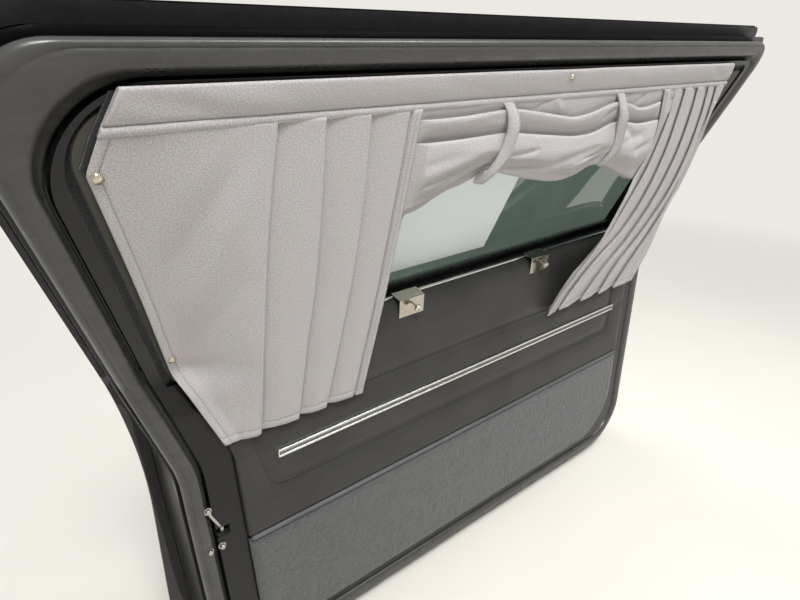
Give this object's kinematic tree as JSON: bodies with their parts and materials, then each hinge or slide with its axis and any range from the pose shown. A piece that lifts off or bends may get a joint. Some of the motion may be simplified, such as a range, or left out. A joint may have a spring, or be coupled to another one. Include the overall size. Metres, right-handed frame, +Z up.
{
  "type": "hearse rear side door",
  "caption": "Framed rear side door of a hearse, hung open on its hinges, with a pleated drape and swag over the window and a trimmed inner face.",
  "frame": {"origin": "middle of the lower hinge's mounting face on the pillar", "axes": "+X along the opened door towards its hinges, +Y from the trimmed inner face to the outer skin, +Z up"},
  "size_m": [1.5869, 0.3968, 1.192],
  "materials": {
    "hinge_steel": "satin black",
    "black_paint": "gloss black with clear coat",
    "tinted_glass": "clear, green tint",
    "seal_rubber": "satin",
    "bright_metal": "polished",
    "black_vinyl": "fine grain",
    "grey_carpet": "cut pile",
    "drape_cloth": "heather weave",
    "snap_metal": "dull nickel",
    "hook_tape": "hook and loop",
    "blank_paper": "matte",
    "latch_plastic": "moulded"
  },
  "bodies": {
    "pillar_hinges": {"hinge_pillar_upper": "hinge_steel", "hinge_pillar_lower": "hinge_steel", "hinge_pins": "hinge_steel"},
    "door": {"hinge_door_upper": "hinge_steel", "hinge_door_lower": "hinge_steel", "outer_skin": "black_paint", "inner_panel": "black_paint", "latch_plate": "black_paint", "window_frame": "black_paint", "frame_garnish": "black_vinyl", "window_glass": "tinted_glass", "glass_run_seal": "seal_rubber", "belt_seal_inner": "seal_rubber", "belt_moulding_outer": "bright_metal", "door_weatherstrip": "seal_rubber", "frame_lip_seal": "seal_rubber", "trim_card": "black_vinyl", "carpet_panel": "grey_carpet", "card_piping": "black_vinyl", "bright_strip": "bright_metal", "sill_bead": "bright_metal", "plate_clip_rear": "bright_metal", "plate_clip_front": "bright_metal", "clip_screws": "bright_metal", "drape_header": "drape_cloth", "drape_rear": "drape_cloth", "drape_front": "drape_cloth", "drape_swag": "drape_cloth", "swag_straps": "drape_cloth", "hook_strips": "hook_tape", "snap_buttons": "snap_metal", "notice_sheet": "blank_paper", "latch_body": "latch_plastic", "latch_fork": "bright_metal", "outer_handle": "bright_metal", "lock_cylinder": "bright_metal", "wiring_boot": "seal_rubber"}
  },
  "joints": [
    {"name": "door_swing", "type": "hinge", "parent": "pillar_hinges", "child": "door", "pos_m": [-0.0308, -0.01874, 0.19], "axis": [0, 0, 1], "range_deg": [0, 65]}
  ]
}
